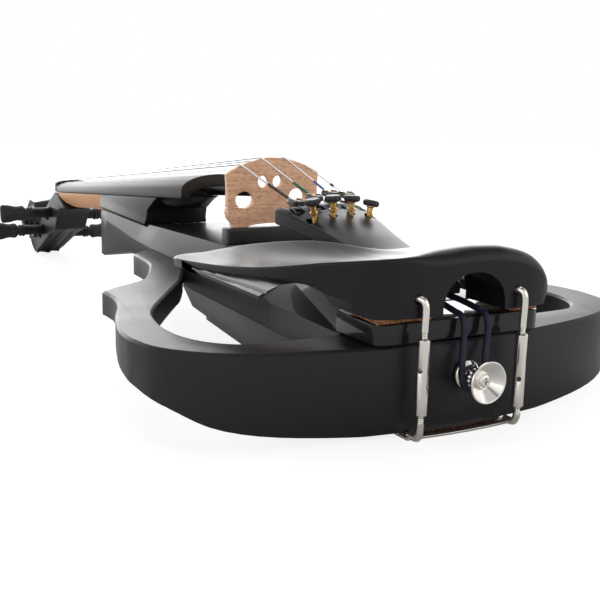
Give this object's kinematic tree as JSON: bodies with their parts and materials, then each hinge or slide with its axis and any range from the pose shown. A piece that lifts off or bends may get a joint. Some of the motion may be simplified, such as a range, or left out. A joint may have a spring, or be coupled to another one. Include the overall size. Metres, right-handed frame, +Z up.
{
  "type": "electric violin",
  "caption": "Black electric violin with an open frame body, carbon-look centre block, maple bridge and neck, side chinrest, fine tuners and a nickel end button",
  "frame": {"origin": "bottom centre of the bounding box, on the floor the instrument lies on", "axes": "+X towards the treble side, +Y from the tail to the scroll along the floor, +Z up; the instrument is tipped 1.9 degrees about X, resting on the clamp's foot plate and the back of the scroll"},
  "size_m": [0.21, 0.598, 0.0923],
  "materials": {
    "satin_black": "satin black lacquer on wood",
    "gloss_black": "black lacquer with a glossy woven-fibre look",
    "ebony_black": "oiled black hardwood",
    "maple": "warm maple, bare to lightly oiled",
    "black_plastic": "moulded black plastic",
    "nickel": "bright nickel plate",
    "brass": "bright brass",
    "string_steel": "wound steel with coloured silk at the ends",
    "cork": "natural cork sheet",
    "tail_gut": "dark blue nylon cord",
    "circuit_board": "green circuit laminate",
    "battery_case": "plain grey block battery"
  },
  "bodies": {
    "instrument": {"body_frame": "satin_black", "centre_block": "gloss_black", "electronics_housing": "gloss_black", "battery": "battery_case", "circuit_board": "circuit_board", "output_jack": "nickel", "headphone_jack": "nickel", "volume_potentiometer": "nickel", "tone_potentiometer": "nickel", "neck_heel": "satin_black", "neck": "maple", "fingerboard": "ebony_black", "nut": "ebony_black", "head": "satin_black", "bridge": "maple", "pickup_bar": "black_plastic", "tailpiece": "ebony_black", "tail_gut": "tail_gut", "end_button": "nickel", "button_screw": "nickel", "chinrest": "satin_black", "cork_pad_bass": "cork", "cork_pad_treble": "cork", "cork_pad_tail": "cork", "clamp_hook_bass": "nickel", "clamp_hook_treble": "nickel", "clamp_foot": "nickel", "string_g": "string_steel", "string_d": "string_steel", "string_a": "string_steel", "string_e": "string_steel"},
    "battery_door": {"battery_door": "black_plastic"},
    "volume_knob": {"volume_knob": "black_plastic"},
    "tone_knob": {"tone_knob": "black_plastic"},
    "clamp_barrel_bass": {"clamp_barrel_bass": "nickel"},
    "clamp_barrel_treble": {"clamp_barrel_treble": "nickel"},
    "peg_g": {"peg_g": "ebony_black"},
    "tuner_g": {"tuner_screw_g": "brass", "tuner_knob_g": "black_plastic"},
    "lever_g": {"tuner_lever_g": "black_plastic"},
    "peg_d": {"peg_d": "ebony_black"},
    "tuner_d": {"tuner_screw_d": "brass", "tuner_knob_d": "black_plastic"},
    "lever_d": {"tuner_lever_d": "black_plastic"},
    "peg_a": {"peg_a": "ebony_black"},
    "tuner_a": {"tuner_screw_a": "brass", "tuner_knob_a": "black_plastic"},
    "lever_a": {"tuner_lever_a": "black_plastic"},
    "peg_e": {"peg_e": "ebony_black"},
    "tuner_e": {"tuner_screw_e": "brass", "tuner_knob_e": "black_plastic"},
    "lever_e": {"tuner_lever_e": "black_plastic"}
  },
  "joints": [
    {"name": "peg_g_turn", "type": "hinge", "parent": "instrument", "child": "peg_g", "pos_m": [0, 0.21413, 0.03914], "axis": [-1, 0, 0], "range_deg": [-360, 360]},
    {"name": "peg_d_turn", "type": "hinge", "parent": "instrument", "child": "peg_d", "pos_m": [0, 0.24268, 0.02318], "axis": [-1, 0, 0], "range_deg": [-360, 360]},
    {"name": "peg_a_turn", "type": "hinge", "parent": "instrument", "child": "peg_a", "pos_m": [0, 0.25584, 0.01861], "axis": [1, 0, 0], "range_deg": [-360, 360]},
    {"name": "peg_e_turn", "type": "hinge", "parent": "instrument", "child": "peg_e", "pos_m": [0, 0.22626, 0.03564], "axis": [1, 0, 0], "range_deg": [-360, 360]},
    {"name": "tuner_g_turn", "type": "hinge", "parent": "instrument", "child": "tuner_g", "pos_m": [-0.0146, -0.20321, 0.07572], "axis": [-0.1736, -0.0327, 0.9843], "range_deg": [-360, 360]},
    {"name": "tuner_d_turn", "type": "hinge", "parent": "instrument", "child": "tuner_d", "pos_m": [-0.0052, -0.20375, 0.0769], "axis": [-0.0523, -0.0331, 0.9981], "range_deg": [-360, 360]},
    {"name": "tuner_a_turn", "type": "hinge", "parent": "instrument", "child": "tuner_a", "pos_m": [0.0052, -0.20175, 0.07697], "axis": [0.0523, -0.0331, 0.9981], "range_deg": [-360, 360]},
    {"name": "tuner_e_turn", "type": "hinge", "parent": "instrument", "child": "tuner_e", "pos_m": [0.0148, -0.202, 0.07536], "axis": [0.2079, -0.0324, 0.9776], "range_deg": [-360, 360]},
    {"name": "lever_g_swing", "type": "hinge", "parent": "instrument", "child": "lever_g", "pos_m": [-0.0152, -0.19151, 0.07011], "axis": [1, 0, 0], "range_deg": [-2.7, 2.7]},
    {"name": "lever_d_swing", "type": "hinge", "parent": "instrument", "child": "lever_d", "pos_m": [-0.0054, -0.19154, 0.0709], "axis": [1, 0, 0], "range_deg": [-2.7, 2.7]},
    {"name": "lever_a_swing", "type": "hinge", "parent": "instrument", "child": "lever_a", "pos_m": [0.005, -0.19154, 0.0709], "axis": [1, 0, 0], "range_deg": [-2.7, 2.7]},
    {"name": "lever_e_swing", "type": "hinge", "parent": "instrument", "child": "lever_e", "pos_m": [0.015, -0.19151, 0.07011], "axis": [1, 0, 0], "range_deg": [-2.7, 2.7]},
    {"name": "volume_turn", "type": "hinge", "parent": "instrument", "child": "volume_knob", "pos_m": [0.03284, -0.18144, 0.01961], "axis": [1, 0, 0], "range_deg": [-150, 150]},
    {"name": "tone_turn", "type": "hinge", "parent": "instrument", "child": "tone_knob", "pos_m": [0.03224, -0.16444, 0.02018], "axis": [1, 0, 0], "range_deg": [-150, 150]},
    {"name": "clamp_bass_turn", "type": "hinge", "parent": "instrument", "child": "clamp_barrel_bass", "pos_m": [-0.0215, -0.29082, 0.02334], "axis": [0, -0.0332, 0.9995], "range_deg": [-720, 720]},
    {"name": "clamp_treble_turn", "type": "hinge", "parent": "instrument", "child": "clamp_barrel_treble", "pos_m": [0.021, -0.29074, 0.02089], "axis": [0, -0.0332, 0.9995], "range_deg": [-720, 720]},
    {"name": "battery_door_hinge", "type": "hinge", "parent": "instrument", "child": "battery_door", "pos_m": [0, -0.22831, 0.0087], "axis": [1, 0, 0], "range_deg": [-100, 0]}
  ],
  "couplings": [
    {"joint": "lever_g_swing", "follows": "tuner_g_turn", "ratio": -0.0072},
    {"joint": "lever_d_swing", "follows": "tuner_d_turn", "ratio": -0.0072},
    {"joint": "lever_a_swing", "follows": "tuner_a_turn", "ratio": -0.0072},
    {"joint": "lever_e_swing", "follows": "tuner_e_turn", "ratio": -0.0072}
  ]
}
